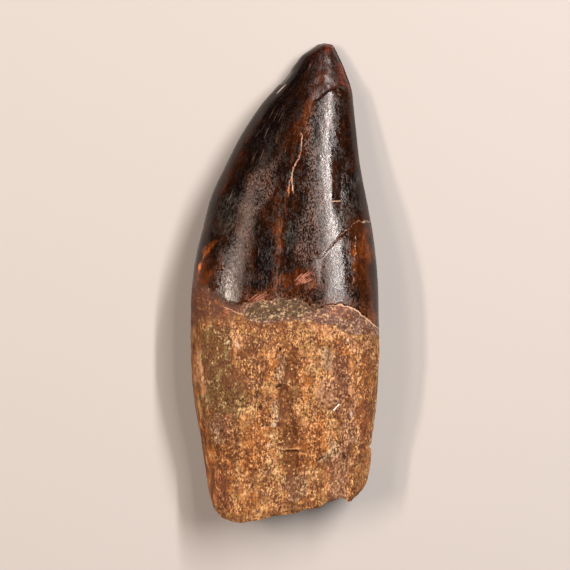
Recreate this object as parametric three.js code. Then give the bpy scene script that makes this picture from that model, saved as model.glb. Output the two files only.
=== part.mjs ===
// A fossil tooth of a large meat-eating dinosaur: a blade-like crown that leans back to a worn tip, on the
// upper half of its root, which is broken off below. It grew as one piece, so it is one closed mesh, and it
// lies on its hollow face. Millimetres. X runs from the leading edge (-) to the trailing edge (+), Y from
// the broken end (-) to the tip (+), and Z up from the surface that the tooth lies on.

import * as THREE from "three";

// Cross-sections from the root up to the tip. lead and trail are the X of the two edges, low and high the Z
// of the underside and the upper face in mid-section. keel shapes the edges: 0.5 is round, and more is
// sharper. groove is the depth of the shallow hollow along the middle of both faces.
const SECTIONS = [
  { y: -33.5, lead: -14.3, trail: 15.3, low: -0.8, high: 12.9, keel: 0.46, groove: 1.1 },
  { y: -28.1, lead: -15.1, trail: 15.6, low: -0.6, high: 13.9, keel: 0.46, groove: 1.1 },
  { y: -22.7, lead: -16.0, trail: 16.3, low: -0.3, high: 14.7, keel: 0.47, groove: 1.05 },
  { y: -17.4, lead: -16.6, trail: 16.6, low: 0.1, high: 15.3, keel: 0.48, groove: 0.95 },
  { y: -12.0, lead: -16.8, trail: 16.8, low: 0.35, high: 15.7, keel: 0.5, groove: 0.8 },
  { y: -6.6, lead: -16.8, trail: 16.7, low: 0.65, high: 15.9, keel: 0.53, groove: 0.7 },
  { y: -1.3, lead: -16.6, trail: 16.6, low: 0.95, high: 15.7, keel: 0.57, groove: 0.75 },
  { y: 4.1, lead: -15.9, trail: 16.2, low: 1.2, high: 15.0, keel: 0.61, groove: 0.65 },
  { y: 9.5, lead: -14.6, trail: 15.5, low: 1.4, high: 14.0, keel: 0.64, groove: 0.5 },
  { y: 14.9, lead: -13.2, trail: 14.5, low: 1.5, high: 12.7, keel: 0.66, groove: 0.32 },
  { y: 20.2, lead: -10.8, trail: 13.5, low: 1.45, high: 11.3, keel: 0.67, groove: 0.18 },
  { y: 25.6, lead: -8.1, trail: 12.9, low: 1.2, high: 9.8, keel: 0.67, groove: 0.08 },
  { y: 31.0, lead: -4.7, trail: 12.4, low: 0.75, high: 8.1, keel: 0.66, groove: 0 },
  { y: 34.2, lead: -2.1, trail: 12.1, low: 0.4, high: 6.9, keel: 0.65, groove: 0 },
  { y: 37.1, lead: 0.4, trail: 11.2, low: 0.05, high: 5.7, keel: 0.62, groove: 0 },
  { y: 39.2, lead: 1.9, trail: 10.4, low: -0.15, high: 4.8, keel: 0.58, groove: 0 },
  { y: 40.7, lead: 3.1, trail: 9.7, low: -0.15, high: 4.2, keel: 0.54, groove: 0 },
  { y: 41.8, lead: 4.6, trail: 9.2, low: -0.05, high: 3.6, keel: 0.5, groove: 0 },
  { y: 42.5, lead: 5.6, trail: 8.8, low: 0.25, high: 3.1, keel: 0.5, groove: 0 },
  { y: 42.9, lead: 6.3, trail: 8.3, low: 0.8, high: 2.4, keel: 0.5, groove: 0 },
  { y: 43.0, lead: 7.2, trail: 7.2, low: 1.6, high: 1.6, keel: 0.5, groove: 0 },
];
const EDGE_POWER = 2.3; // fullness of a cross-section between its middle and its edges

// The hollow along each face: how wide it is as a share of the half width, the X by which its middle lies
// beside the tooth's at the root, and the number of sections over which it swings back to the middle.
const GROOVE_WIDTH = 0.3;
const GROOVE_X = 1.2;
const GROOVE_SWING = 12;

// Outline of the broken root end as [x, y], with its rounded corner, its slanting edge and the spur left by
// a nick.
const BREAK = [
  [-14.0, -36.0],
  [-13.6, -37.6],
  [-13.1, -39.4],
  [-12.4, -41.0],
  [-11.3, -42.1],
  [-9.5, -42.8],
  [-7.5, -43.0],
  [-4.1, -42.3],
  [-1.8, -41.7],
  [2.1, -41.2],
  [3.2, -40.6],
  [5.9, -40.3],
  [7.3, -39.5],
  [9.9, -38.6],
  [10.5, -38.7],
  [10.9, -39.3],
  [11.8, -39.4],
  [12.6, -38.3],
  [13.6, -37.4],
  [14.5, -36.5],
  [14.9, -35.2],
];
const SPUR_X = [9.9, 10.9, 11.8]; // columns of the mesh move onto the nick and both corners of the spur
const BREAK_SLANT = 1.3; // the underside is this much shorter than the upper face
const BREAK_HOLLOW = { depth: 1.8, x: 0.6, halfWidth: 6.5, halfHeight: 2.6 }; // the filled pulp cavity
const BREAK_ROUNDING = 0.1; // share of the thickness that rounds off at the broken edge
const BREAK_ROUNDING_POWER = 6; // how suddenly it rounds off
const BREAK_LUMPS = { height: 0.5, alongX: 1.1, alongZ: 1.7, slant: 0.65 }; // unevenness of the broken face

// Lower edge of the enamel and upper edge of the root's crust as [x, y]. The surface between them lies a
// little lower.
const ENAMEL_EDGE = [
  [-16.8, -1.5],
  [-12.0, -3.0],
  [-7.0, -3.6],
  [-1.0, -2.8],
  [4.0, -3.7],
  [7.3, -4.4],
  [10.0, -4.0],
  [13.4, -5.2],
  [16.8, -8.3],
];
const CRUST_EDGE = [
  [-16.8, -7.0],
  [-10.7, -6.4],
  [-3.0, -6.6],
  [5.0, -6.9],
  [8.8, -7.7],
  [10.9, -8.8],
  [13.4, -9.4],
  [16.8, -9.4],
];
const NECK_DEPTH = 0.3;
const EDGE_SOFTNESS = 0.5; // length over which a step in the surface falls
const EDGE_TAPER = 0.25; // share of the half width over which all relief fades out towards both edges

// A flake is missing from the upper face at the tip, above a line that climbs towards the trailing edge.
const FLAKE = { from: [5.9, 32.9], to: [11.8, 36.2], depth: 0.35, fadeX: 3.5 };

// A shallow pocket in the upper face's hollow, low on the root: its middle, half size and depth, and the
// shares of that half size between which its walls rise.
const POCKET = { x: 1.2, y: -31.4, halfWidth: 1.2, halfLength: 1.7, depth: 0.6, floor: 0.6, rim: 1.2 };

// Lumps of the root's surface: [height, waves per mm along X, waves per mm along Y, offset].
const LUMPS = [
  [0.13, 0.083, 0.047, 0.4],
  [0.1, 0.061, 0.104, 2.1],
  [0.08, 0.142, 0.071, 4.4],
  [0.06, 0.119, 0.163, 1.3],
];
const UNDERSIDE_LUMPS = 0.4; // share of those lumps on the flatter underside

const COLUMNS = 28; // steps across each face
const COLUMN_CROWDING = 0.7; // 1 crowds the columns at the edges as on a circle, and 0 spaces them evenly
const ROW_STEP = 1.12;
const BREAK_ROWS = 8; // rows between the broken edge and the first cross-section
const BREAK_LAYERS = 6; // steps from the upper to the under side of the broken end

const clamp = THREE.MathUtils.clamp;
const lerp = THREE.MathUtils.lerp;
const smoothstep = THREE.MathUtils.smoothstep;
const last = SECTIONS.length - 1;

// Each column of the table as a smooth curve along the tooth.
const curves = {};
for (const key of Object.keys(SECTIONS[0])) {
  curves[key] = new THREE.SplineCurve(SECTIONS.map((section, i) => new THREE.Vector2(i, section[key])));
}

// A measure of the cross-section at v, which counts the sections from 0 at the root to last at the tip.
function measure(key, v) {
  return curves[key].getPoint(clamp(v / last, 0, 1)).y;
}

// Y on an outline of [x, y] points, in straight lines between them.
function lineY(points, x) {
  const passed = points.filter((p) => p[0] <= x).length;
  const i = clamp(passed, 1, points.length - 1);
  const [[x0, y0], [x1, y1]] = [points[i - 1], points[i]];
  return lerp(y0, y1, clamp((x - x0) / (x1 - x0), 0, 1));
}

// How far the real surface stands above or below the smooth form, on the upper face or the underside.
function relief(x, y, upper) {
  const crown = smoothstep(y - lineY(ENAMEL_EDGE, x), -EDGE_SOFTNESS, 0);
  const crust = smoothstep(lineY(CRUST_EDGE, x) - y, -EDGE_SOFTNESS, 0);
  let height = -NECK_DEPTH * (1 - crown) * (1 - crust);
  for (const [size, alongX, alongY, offset] of LUMPS) {
    const waveX = Math.sin(2 * Math.PI * alongX * x + offset);
    const waveY = Math.sin(2 * Math.PI * alongY * y + 2 * offset);
    height += size * waveX * waveY * (1 - crown) * (upper ? 1 : UNDERSIDE_LUMPS);
  }
  if (upper) {
    const slope = (FLAKE.to[1] - FLAKE.from[1]) / (FLAKE.to[0] - FLAKE.from[0]);
    const above = y - FLAKE.from[1] - slope * (x - FLAKE.from[0]);
    const reach = smoothstep(x, FLAKE.from[0] - FLAKE.fadeX, FLAKE.from[0]);
    height -= FLAKE.depth * smoothstep(above, 0, EDGE_SOFTNESS) * reach;
    const across = Math.abs(x - POCKET.x) / POCKET.halfWidth;
    const lengthways = Math.abs(y - POCKET.y) / POCKET.halfLength;
    height -= POCKET.depth * (1 - smoothstep(Math.max(across, lengthways), POCKET.floor, POCKET.rim));
  }
  return height;
}

// A point of the upper face or the underside. u runs from -1 at the leading edge to 1 at the trailing edge,
// and v from -1 at the broken edge, through 0 at the first cross-section, to last at the tip.
function surfacePoint(u, v, upper) {
  const below = clamp(-v, 0, 1);
  const across = (u + 1) / 2;
  const breakX = lerp(BREAK[0][0], BREAK.at(-1)[0], across);
  const x = lerp(lerp(measure("lead", v), measure("trail", v), across), breakX, below);
  const slant = upper ? 0 : BREAK_SLANT * (1 - u * u);
  const y = lerp(measure("y", v), lineY(BREAK, breakX) + slant, below);

  const halfWidth = (measure("trail", v) - measure("lead", v)) / 2;
  const middleX = (measure("trail", v) + measure("lead", v)) / 2;
  const grooveX = middleX + GROOVE_X * clamp(1 - v / GROOVE_SWING, 0, 1);
  const edgeZ = (measure("low", v) + measure("high", v)) / 2;
  const halfThickness = edgeZ - measure("low", v);
  const share = Math.pow(1 - Math.pow(Math.abs(u), EDGE_POWER), measure("keel", v));
  const fromGroove = (x - grooveX) / (GROOVE_WIDTH * Math.max(halfWidth, 1));
  const groove = measure("groove", v) * Math.exp(-fromGroove * fromGroove);
  const rounding = 1 - BREAK_ROUNDING * Math.pow(below, BREAK_ROUNDING_POWER);
  const taper = Math.min(1, (1 - Math.abs(u)) / EDGE_TAPER);
  const away = (halfThickness * share - groove) * rounding + relief(x, y, upper) * taper;
  const z = upper ? edgeZ + away : edgeZ - away;
  return new THREE.Vector3(x, y, Math.max(z, 0));
}

// A point on the broken end, from the upper edge at layer 0 to the lower edge at BREAK_LAYERS. The hollow
// and the unevenness are greatest halfway and fade out towards both edges.
function breakPoint(u, layer) {
  const share = layer / BREAK_LAYERS;
  const point = surfacePoint(u, -1, true).lerp(surfacePoint(u, -1, false), share);
  const middle = (measure("low", 0) + measure("high", 0)) / 2;
  const across = (point.x - BREAK_HOLLOW.x) / BREAK_HOLLOW.halfWidth;
  const upwards = (point.z - middle) / BREAK_HOLLOW.halfHeight;
  const hollow = BREAK_HOLLOW.depth * Math.exp(-(across * across + upwards * upwards));
  const { height, alongX, alongZ, slant } = BREAK_LUMPS;
  const waveX = Math.sin(alongX * point.x + slant * point.z);
  const waveZ = Math.sin(alongZ * point.z - slant * point.x);
  point.y += (hollow + height * waveX * waveZ) * Math.sin(Math.PI * share);
  return point;
}

// Columns across a face, crowded towards its edges, with the nearest ones moved onto the spur's corners.
function columnPositions() {
  const positions = [];
  for (let i = 0; i <= COLUMNS; i++) {
    const even = (2 * i) / COLUMNS - 1;
    const crowded = -Math.cos((Math.PI * i) / COLUMNS);
    positions.push(lerp(even, crowded, COLUMN_CROWDING));
  }
  for (const x of SPUR_X) {
    const u = (2 * (x - BREAK[0][0])) / (BREAK.at(-1)[0] - BREAK[0][0]) - 1;
    const gaps = positions.map((p) => Math.abs(p - u));
    positions[gaps.indexOf(Math.min(...gaps))] = u;
  }
  return positions;
}

// Rows from the broken edge to just below the tip, as values of v.
function rowPositions() {
  const rows = [];
  for (let i = 0; i < BREAK_ROWS; i++) {
    rows.push(i / BREAK_ROWS - 1);
  }
  for (let k = 0; k < last; k++) {
    const steps = Math.max(1, Math.round((SECTIONS[k + 1].y - SECTIONS[k].y) / ROW_STEP));
    for (let j = 0; j < steps; j++) {
      rows.push(k + j / steps);
    }
  }
  return rows;
}

function toothGeometry() {
  const columns = columnPositions();
  const rows = rowPositions();
  const ring = 2 * COLUMNS;
  const points = [];
  const triangles = [];
  const quad = (a, b, c, d) => triangles.push(a, b, c, a, c, d);

  // Each row is a ring: over the upper face from the leading edge to the trailing one, and back underneath.
  for (const v of rows) {
    for (let i = 0; i < COLUMNS; i++) {
      points.push(surfacePoint(columns[i], v, true));
    }
    for (let i = COLUMNS; i > 0; i--) {
      points.push(surfacePoint(columns[i], v, false));
    }
  }
  for (let r = 0; r < rows.length - 1; r++) {
    for (let i = 0; i < ring; i++) {
      const next = (i + 1) % ring;
      quad(r * ring + i, r * ring + next, (r + 1) * ring + next, (r + 1) * ring + i);
    }
  }

  const tip = points.push(surfacePoint(0, last, true)) - 1;
  const top = (rows.length - 1) * ring;
  for (let i = 0; i < ring; i++) {
    triangles.push(top + i, top + ((i + 1) % ring), tip);
  }

  // The broken end closes the lowest ring: inner columns run from the upper edge to the lower one.
  const inner = points.length;
  for (let i = 1; i < COLUMNS; i++) {
    for (let layer = 1; layer < BREAK_LAYERS; layer++) {
      points.push(breakPoint(columns[i], layer));
    }
  }
  const endPoint = (i, layer) => {
    if (i === 0 || i === COLUMNS || layer === 0) {
      return i;
    }
    return layer === BREAK_LAYERS ? ring - i : inner + (i - 1) * (BREAK_LAYERS - 1) + layer - 1;
  };
  for (let i = 0; i < COLUMNS; i++) {
    for (let layer = 0; layer < BREAK_LAYERS; layer++) {
      const [a, b] = [endPoint(i, layer), endPoint(i, layer + 1)];
      const [c, d] = [endPoint(i + 1, layer + 1), endPoint(i + 1, layer)];
      if (i === 0) {
        triangles.push(a, c, d);
      } else if (i === COLUMNS - 1) {
        triangles.push(a, b, c);
      } else {
        quad(a, b, c, d);
      }
    }
  }

  const geometry = new THREE.BufferGeometry().setFromPoints(points);
  geometry.setIndex(triangles);
  geometry.computeVertexNormals();
  return geometry;
}

const fossil = new THREE.MeshStandardMaterial({ color: 0x7a4a2a, roughness: 0.6, metalness: 0 });
const tooth = new THREE.Mesh(toothGeometry(), fossil);
tooth.name = "tooth";

const specimen = new THREE.Group();
specimen.add(tooth);

export default specimen;
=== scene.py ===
"""The looks of a fossil tooth: a glossy dark red-brown crown on a rough tan root, lying on a pale floor.

Lengths are in millimetres on the tooth and in metres on the stage. X runs from the leading edge (-) to the
trailing edge (+), Y from the broken end of the root (-) to the tip (+), and Z up from the floor. A spot is
(x, y, half length, half width, turn in degrees).
"""

import math

import bpy
import numpy as np
from mathutils import Matrix, Vector, noise


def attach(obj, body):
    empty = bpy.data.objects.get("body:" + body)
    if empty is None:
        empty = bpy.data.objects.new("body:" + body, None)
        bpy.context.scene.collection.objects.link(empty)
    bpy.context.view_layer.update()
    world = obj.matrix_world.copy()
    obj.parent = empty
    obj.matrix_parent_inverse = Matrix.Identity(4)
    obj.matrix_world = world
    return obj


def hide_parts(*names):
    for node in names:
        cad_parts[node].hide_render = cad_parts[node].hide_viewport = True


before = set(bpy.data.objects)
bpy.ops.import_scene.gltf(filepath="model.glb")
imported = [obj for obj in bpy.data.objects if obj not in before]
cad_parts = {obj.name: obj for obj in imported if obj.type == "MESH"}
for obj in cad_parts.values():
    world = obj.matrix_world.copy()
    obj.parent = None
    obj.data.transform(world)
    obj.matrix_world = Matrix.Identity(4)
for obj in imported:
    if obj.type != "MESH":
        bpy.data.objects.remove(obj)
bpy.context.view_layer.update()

MM = 0.001

# The smooth form, the same as the solid's. Each cross-section has its Y, the X of the leading and trailing
# edges, the Z of the underside and the upper face in mid-section, the keel (0.5 is a round edge, more is
# sharper) and the depth of the hollow along the middle of both faces.
SECTIONS = np.array([
    (-33.5, -14.3, 15.3, -0.8, 12.9, 0.46, 1.1),
    (-28.1, -15.1, 15.6, -0.6, 13.9, 0.46, 1.1),
    (-22.7, -16.0, 16.3, -0.3, 14.7, 0.47, 1.05),
    (-17.4, -16.6, 16.6, 0.1, 15.3, 0.48, 0.95),
    (-12.0, -16.8, 16.8, 0.35, 15.7, 0.5, 0.8),
    (-6.6, -16.8, 16.7, 0.65, 15.9, 0.53, 0.7),
    (-1.3, -16.6, 16.6, 0.95, 15.7, 0.57, 0.75),
    (4.1, -15.9, 16.2, 1.2, 15.0, 0.61, 0.65),
    (9.5, -14.6, 15.5, 1.4, 14.0, 0.64, 0.5),
    (14.9, -13.2, 14.5, 1.5, 12.7, 0.66, 0.32),
    (20.2, -10.8, 13.5, 1.45, 11.3, 0.67, 0.18),
    (25.6, -8.1, 12.9, 1.2, 9.8, 0.67, 0.08),
    (31.0, -4.7, 12.4, 0.75, 8.1, 0.66, 0),
    (34.2, -2.1, 12.1, 0.4, 6.9, 0.65, 0),
    (37.1, 0.4, 11.2, 0.05, 5.7, 0.62, 0),
    (39.2, 1.9, 10.4, -0.15, 4.8, 0.58, 0),
    (40.7, 3.1, 9.7, -0.15, 4.2, 0.54, 0),
    (41.8, 4.6, 9.2, -0.05, 3.6, 0.5, 0),
    (42.5, 5.6, 8.8, 0.25, 3.1, 0.5, 0),
    (42.9, 6.3, 8.3, 0.8, 2.4, 0.5, 0),
    (43.0, 7.2, 7.2, 1.6, 1.6, 0.5, 0),
])
AT_Y, LEAD, TRAIL, LOW, HIGH, KEEL, GROOVE = range(7)
TIP = len(SECTIONS) - 1
EDGE_POWER = 2.3  # fullness of a cross-section between its middle and its edges
GROOVE_WIDTH = 0.3  # share of the half width
GROOVE_X = 1.2
GROOVE_TURNS = 12  # sections over which the groove swings back to the middle

# Outline of the broken end as (x, y).
BREAK = np.array([
    (-14.0, -36.0), (-13.6, -37.6), (-13.1, -39.4), (-12.4, -41.0), (-11.3, -42.1), (-9.5, -42.8),
    (-7.5, -43.0), (-4.1, -42.3), (-1.8, -41.7), (2.1, -41.2), (3.2, -40.6), (5.9, -40.3), (7.3, -39.5),
    (9.9, -38.6), (10.5, -38.7), (10.9, -39.3), (11.8, -39.4), (12.6, -38.3), (13.6, -37.4),
    (14.5, -36.5), (14.9, -35.2),
])
BREAK_SLANT = 1.3  # the underside is this much shorter than the upper face
BREAK_ROUNDING = 0.1  # share of the thickness that rounds off at the broken edge
BREAK_ROUNDING_POWER = 6
BREAK_EDGE_ANGLE = 62  # folds sharper than this are shaded as edges
BREAK_HOLLOW = {"depth": 1.8, "x": 0.6, "half_width": 6.5, "half_height": 2.6}

# Lower edge of the enamel and upper edge of the root's crust as (x, y), the same on both faces. The surface
# steps down from each within these distances of it.
ENAMEL_EDGE = np.array([
    (-16.8, -0.4), (-14.0, -1.0), (-11.6, -2.6), (-10.2, -3.6), (-8.2, -4.2), (-7.2, -3.6), (-1.0, -3.0),
    (3.8, -3.7), (5.2, -5.2), (7.3, -4.2), (10.0, -3.9), (13.4, -5.1), (14.9, -6.4), (16.4, -8.1),
])
ENAMEL_STEP = (-0.08, 0.12)
CRUST_EDGE = np.array([
    (-16.8, -7.0), (-13.4, -6.9), (-10.7, -6.2), (-8.1, -5.8), (-5.9, -6.8), (-2.7, -7.2), (0.0, -6.6),
    (2.7, -6.8), (5.0, -6.9), (8.8, -7.7), (10.9, -8.8), (13.4, -9.4), (16.8, -9.4),
])
CRUST_STEP = (-0.12, 0.16)
FILM_X = (-6.6, -9.2)  # a brown film hides both edges on the left, from nowhere to wholly between these

# Lumps of the root: height, waves per mm along X and along Y, and offset.
UNDERSIDE_LUMPS = 0.4
LUMPS = (
    (0.13, 0.083, 0.047, 0.4), (0.10, 0.061, 0.104, 2.1), (0.08, 0.142, 0.071, 4.4),
    (0.06, 0.119, 0.163, 1.3),
)

# The camera's place, and the sheet through the tooth on which the places of its marks were measured.
EYE = (0.0, -0.95, 347.0)
SHEET_DISTANCE = 340.1
SHEET_SHIFT = -0.36

# Heights of the fine relief. Those below 0 are depths.
RELIEF = {
    "neck": -0.3,
    "neck_grain": 0.07,
    "root_grain": 0.13,
    "root_sand": 0.09,
    "root_fibres": 0.1,
    "root_pits": -0.25,
    "groove": -0.55,
    "ridge": 0.25,
    "pocket": -0.65,
    "pit": -0.6,
    "holes": -0.35,
    "shelf": 0.22,
    "sediment": 0.03,
    "clods": 0.15,
    "crown_waves": 0.035,
    "crown_ripples": 0.006,
    "crack": -0.04,
    "worn": -0.22,
    "worn_lumps": 0.07,
    "chips": -0.05,
    "chip_lumps": 0.04,
}
ALONG_GROWTH = np.array([1.0, 0.14, 1.0])  # draws a pattern out along the tooth

# Mesh. The underside has fewer columns, because it faces the floor.
UPPER_COLUMNS = 160
LOWER_COLUMNS = 80
COLUMN_CROWDING = 0.75
CROWN_FROM = -3.0
CROWN_STEP = 0.25
ROOT_STEP = 0.215
BREAK_LAYERS = 46
FLOW_HALF_WIDTH = 15  # the growth pattern is this wide at every height
FLOW_SIDE = 20  # sets the two faces' growth patterns apart

SPOT_FADE = (0.55, 1.25)  # shares of a soft spot's size between which it fades out
DAB_FADE = (1.15, 0.75)  # the same for the sharper dabs of the material


def mix(a, b, share):
    """Straight-line blend from a to b."""
    return a + (b - a) * share


def ease(value, start, end):
    """0 up to start, 1 from end on, and a smooth rise between them. start may be the larger."""
    t = np.clip((value - start) / (end - start), 0, 1)
    return t * t * (3 - 2 * t)


def spline(values, at):
    """Uniform Catmull-Rom curve through the values, read at fractional places."""
    i = np.clip(np.floor(at).astype(int), 0, len(values) - 2)
    t = at - i
    before, start, end = values[np.maximum(i - 1, 0)], values[i], values[i + 1]
    after = values[np.minimum(i + 2, len(values) - 1)]
    slope_in, slope_out = (end - before) / 2, (after - start) / 2
    cubic = 2 * start - 2 * end + slope_in + slope_out
    square = -3 * start + 3 * end - 2 * slope_in - slope_out
    return ((cubic * t + square) * t + slope_in) * t + start


def section(column, v):
    """A measure of the cross-section at v, which counts the sections from 0 at the root to TIP."""
    return spline(SECTIONS[:, column], np.clip(v, 0, TIP))


def fractal(points, scale, octaves=3, shift=0.0):
    """Fractal noise of the points, about -1 to 1, with waves of 1 / scale mm."""
    moved = points * scale + shift
    return np.array([noise.fractal(p, 1.0, 2.0, octaves) for p in moved.tolist()])


def cells(points, scale, shift=0.0):
    """Distance to the nearest of a scatter of points, as a share of their spacing."""
    moved = points * scale + shift
    return np.array([noise.voronoi(p)[0][0] for p in moved.tolist()])


def seen(point):
    """Where points appear to the camera, as (x, y) on the sheet on which the places below were measured."""
    nearer = SHEET_DISTANCE / (EYE[2] - point[:, 2])
    return (point[:, 0] - EYE[0]) * nearer, (point[:, 1] - EYE[1]) * nearer + SHEET_SHIFT


def lump_height(x, y, side):
    """The root's lumps, the same as the solid's."""
    height = np.zeros_like(x)
    for size, along_x, along_y, offset in LUMPS:
        wave_x = np.sin(math.tau * along_x * x + offset)
        height += size * wave_x * np.sin(math.tau * along_y * y + 2 * offset)
    return height * np.where(side > 0, 1, UNDERSIDE_LUMPS)


def smooth_surface(u, v, side):
    """Points of the smooth form. u runs from -1 at the leading edge to 1, side is 1 above and -1 below."""
    below = np.clip(-v, 0, 1)
    lead, trail = section(LEAD, v), section(TRAIL, v)
    low, high = section(LOW, v), section(HIGH, v)
    across = (u + 1) / 2
    break_x = mix(BREAK[0, 0], BREAK[-1, 0], across)
    break_y = np.interp(break_x, BREAK[:, 0], BREAK[:, 1])
    break_y = break_y + np.where(side > 0, 0, BREAK_SLANT * (1 - u * u))
    x = mix(mix(lead, trail, across), break_x, below)
    y = mix(section(AT_Y, v), break_y, below)
    half_width = (trail - lead) / 2
    share = np.power(np.maximum(1 - np.abs(u) ** EDGE_POWER, 0), section(KEEL, v))
    swing = GROOVE_X * np.clip(1 - v / GROOVE_TURNS, 0, 1)
    from_groove = (x - swing - (lead + trail) / 2) / (GROOVE_WIDTH * np.maximum(half_width, 1))
    groove = section(GROOVE, v) * np.exp(-from_groove * from_groove)
    away = ((high - low) / 2 * share - groove) * (1 - BREAK_ROUNDING * below**BREAK_ROUNDING_POWER)
    return np.stack([x, y, (low + high) / 2 + side * away], axis=-1)


def normals_of(grid):
    """Unit normals of a grid of rings, pointing out of the tooth."""
    along = np.gradient(grid, axis=0)
    round_ring = np.roll(grid, -1, axis=1) - np.roll(grid, 1, axis=1)
    normal = np.cross(round_ring, along)
    return normal / np.maximum(np.linalg.norm(normal, axis=-1, keepdims=True), 1e-9)


def soft_spot(x, y, spot):
    """1 inside a spot, falling to 0 just outside it."""
    middle_x, middle_y, half_length, half_width, turn = spot
    turn = math.radians(turn)
    along = (x - middle_x) * math.cos(turn) + (y - middle_y) * math.sin(turn)
    across = (y - middle_y) * math.cos(turn) - (x - middle_x) * math.sin(turn)
    return 1 - ease(np.hypot(along / half_length, across / half_width), *SPOT_FADE)


def spots(x, y, *several):
    """The strongest of several spots."""
    return np.max([soft_spot(x, y, spot) for spot in several], axis=0)


# Spots and other places on the upper face.
FLAKE_LINE = np.array([(2.6, 31.2), (5.9, 32.9), (9.0, 35.1), (9.8, 35.1), (10.7, 34.7), (11.8, 35.7)])
SEDIMENT = (
    (-4.4, -5.0, 2.8, 1.7, 5), (-1.2, -4.8, 2.6, 2.1, 10), (2.4, -4.5, 2.4, 1.9, 15),
    (5.0, -4.8, 1.2, 0.9, 40),
)
GROOVES = (
    (1.2, -15.3, 3.2, 0.85, 88), (0.1, -21.8, 3.8, 1.15, 96), (1.0, -27.6, 2.6, 1.1, 84),
    (1.3, -35.8, 2.4, 1.2, 90),
)
RIDGES = ((-0.6, -16.4, 3.0, 0.7, 92), (-2.0, -23.4, 3.2, 1.0, 86))
POCKET = {"x": 1.05, "y": -31.8, "half_width": 1.35, "half_height": 1.75, "fade": (1.08, 0.85)}
PIT = (-0.84, -11.9, 0.42, 0.32, 70)
HOLES = (
    (-1.2, -18.6, 0.7, 0.25, 40), (-5.0, -20.0, 0.9, 0.4, 60), (-3.9, -25.6, 0.35, 0.25, 0),
    (-3.1, -25.5, 0.35, 0.25, 0), (-4.6, -22.5, 0.6, 0.35, 80), (6.4, -31.5, 1.0, 0.22, 30),
    (10.6, -31.0, 0.8, 0.25, 110),
)
SPECKS = (
    (-1.9, -25.4, 0.35, 0.22, 80), (-2.4, -27.4, 0.3, 0.22, 0), (11.8, -23.4, 0.4, 0.2, 100),
    (11.3, -10.2, 0.35, 0.2, 90), (-10.3, -10.6, 0.4, 0.2, 60), (-8.4, -11.2, 0.5, 0.2, 110),
    (-3.0, -29.0, 0.35, 0.2, 50),
)
CHIP_STROKES = (-1.1, -0.72, -0.3, 0.06, 0.44, 0.86)  # how far each pale stroke lies across its chip
CHIP_STAGGER = 0.4
CHIP_FAN = 10  # degrees that the outer strokes turn
STROKE_HALF_WIDTH = 0.12
CHIPS = ((-4.8, -3.0, 2.3, 1.0, 28), (3.2, 0.8, 2.2, 0.8, 36))
LEAD_STEP = {"from": (35.5, 35.8), "to": (38.6, 37.6), "edge": (-0.8, -0.97), "depth": 0.16}
LEAD_STREAK = (-0.7, 34.7, 1.2, 0.09, 45)
TRAIL_NOTCH = {"y": -29.2, "half_height": 0.45, "edge": (0.8, 0.97), "depth": 0.4}


def strokes():
    """The pale strokes of the chips, side by side and fanned out a little."""
    for x, y, half_length, half_width, turn in CHIPS:
        across = math.radians(turn + 90)
        for offset in CHIP_STROKES:
            shift = offset * half_width
            length = half_length * (0.68 - 0.25 * abs(offset))  # outer strokes are shorter
            along = CHIP_STAGGER * math.sin(5 * offset)
            middle_x = x + shift * math.cos(across) + along * math.sin(across)
            middle_y = y + shift * math.sin(across) - along * math.cos(across)
            yield middle_x, middle_y, length, STROKE_HALF_WIDTH, turn + CHIP_FAN * offset


# Lines on the upper face, each as the X and then the Y of its points. The first kind runs along Y, from the
# tip's side down, and the second along X.
DOWN_LINES = {
    "crack": ([3.04, 2.97, 2.58, 1.79, 1.25, 0.72, 0.64], [26.3, 24.3, 22.5, 21.1, 19.5, 17.5, 16.1]),
    "branch": ([1.25, 1.3, 1.43], [18.8, 17.8, 16.6]),
    "streak": ([0.6, 0.0, -1.2, -2.3], [16.6, 14.8, 7.0, -1.3]),
    "pale_streak": ([12.8, 12.3, 12.1], [9.0, 3.0, -3.5]),
    "groove_wall": ([0.5, -0.3, -0.9, -0.7, 0.2, 0.3], [-12.5, -17.5, -20.5, -24.5, -28.5, -33.5]),
}
CROSS_LINES = {
    "arc": ([6.6, 7.8, 10.85, 13.1, 16.2], [4.5, 6.1, 9.4, 11.1, 10.9]),
    "mark": ([8.6, 9.75], [14.6, 14.7]),
    "pale_line": ([-10.8, -9.3, -7.7], [-4.4, -5.1, -5.6]),
    "shelf": ([-0.1, 1.2, 2.6], [-29.8, -29.75, -29.65]),
    "scratch": ([8.9, 9.6], [-22.7, -21.8]),
}
LEDGE = ([8.6, 8.5, 8.35], [20.9, 18.0, 15.3])

# Distances from a line, and the heights there.
LEDGE_RELIEF = ([0.0, 1.6, 3.8], [0.0, -0.22, 0.0])
ARC_RELIEF = ([-7.0, -2.5, -0.2, 0.1], [0.0, -0.1, -0.16, 0.0])
WALL_RELIEF = ([-0.2, 0.15, 2.4], [0.0, -0.24, 0.0])
CRACK_HALF_WIDTH = 0.35
SHELF_FADE = (0.3, 0.08)


def down_line(x, y, line, fade=0.8):
    """Distance in x from a line that runs along y, and a weight that fades past its ends."""
    xs, ys = line[0][::-1], line[1][::-1]
    weight = ease(y, ys[0] - fade, ys[0]) * ease(y, ys[-1] + fade, ys[-1])
    return x - np.interp(y, ys, xs), weight


def cross_line(x, y, line, fade=0.4):
    """Distance in y from a line that runs along x, and a weight that fades past its ends."""
    xs, ys = line
    weight = ease(x, xs[0] - fade, xs[0]) * ease(x, xs[-1] + fade, xs[-1])
    return y - np.interp(x, xs, ys), weight


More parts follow.
